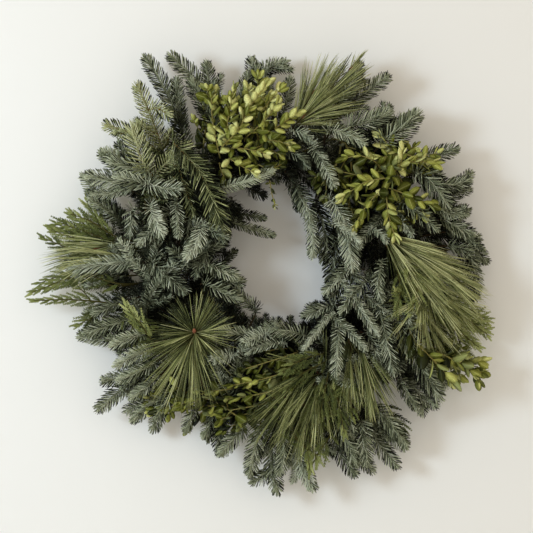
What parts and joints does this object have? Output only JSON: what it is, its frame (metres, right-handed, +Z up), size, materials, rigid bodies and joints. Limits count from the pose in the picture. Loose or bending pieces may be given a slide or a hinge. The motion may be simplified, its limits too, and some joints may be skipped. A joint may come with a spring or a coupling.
{
  "type": "fresh evergreen wreath",
  "caption": "Hanging ring of overlapping evergreen sprays, fir, pine, boxwood and cedar, bound clockwise on a wire frame with a hanging loop.",
  "frame": {"origin": "where the nail that carries the hanging loop meets the wall, straight above the centre of the ring", "axes": "+Z up as hung, +Y into the wall, +X to the right seen from the front; the wall is the plane y = 0"},
  "size_m": [0.6925, 0.1443, 0.6708],
  "materials": {
    "frame_wire": "dark green painted wire",
    "binding_wire": "thin green florist wire",
    "loop_wire": "bare dark wire",
    "fir_needles": "blue-green waxy needles on brown twigs",
    "silver_fir_needles": "pale silver-green waxy needles",
    "green_fir_needles": "mid green needles on brown twigs",
    "pine_needles": "long soft yellow-green needles",
    "cedar_scales": "flat olive green scale-leaved sprays",
    "boxwood_leaves": "satin yellow-green leaves"
  },
  "bodies": {
    "root": {"wire_frame": "frame_wire", "binding_wire": "binding_wire", "hanging_loop": "loop_wire", "boxwood_right_low": "boxwood_leaves", "fir_upper_right": "fir_needles", "boxwood_right_high": "boxwood_leaves", "fir_right_high": "fir_needles", "silver_right_face": "silver_fir_needles", "pine_right": "pine_needles", "fir_right_side": "fir_needles", "fir_right_long": "fir_needles", "fir_right_edge": "fir_needles", "silver_right_low": "silver_fir_needles", "pine_right_low": "pine_needles", "cedar_right_face": "cedar_scales", "cedar_right_edge": "cedar_scales", "boxwood_lower_right": "boxwood_leaves", "pine_bottom_right": "pine_needles", "fir_lower_right_face": "silver_fir_needles", "fir_lower_right": "fir_needles", "silver_lower_right": "silver_fir_needles", "silver_hole_low": "silver_fir_needles", "fir_bottom_right": "fir_needles", "pine_bottom": "pine_needles", "fir_bottom_long": "fir_needles", "cedar_bottom": "cedar_scales", "silver_bottom": "silver_fir_needles", "fir_bottom_middle": "fir_needles", "boxwood_bottom": "boxwood_leaves", "silver_bottom_face": "silver_fir_needles", "fir_bottom_left": "fir_needles", "pine_brush": "pine_needles", "boxwood_bottom_left": "boxwood_leaves", "fir_lower_left": "fir_needles", "fir_left_low": "fir_needles", "fir_left_middle": "fir_needles", "silver_left_face": "silver_fir_needles", "cedar_left_low": "cedar_scales", "fir_left_high": "silver_fir_needles", "pine_left": "pine_needles", "cedar_left_high": "cedar_scales", "fir_left_upper": "fir_needles", "green_left_face": "green_fir_needles", "fir_upper_left_side": "fir_needles", "green_upper_left": "green_fir_needles", "fir_top_left": "fir_needles", "boxwood_top_left": "boxwood_leaves", "fir_top_tall": "fir_needles", "boxwood_top": "boxwood_leaves", "fir_crown": "fir_needles", "pine_top": "pine_needles", "fir_top_right": "fir_needles", "fir_hole_top_right": "silver_fir_needles", "fir_hole_bottom_right": "fir_needles", "fir_hole_bottom": "fir_needles", "fir_hole_left": "fir_needles", "fir_hole_top_left": "fir_needles"}
  },
  "joints": []
}
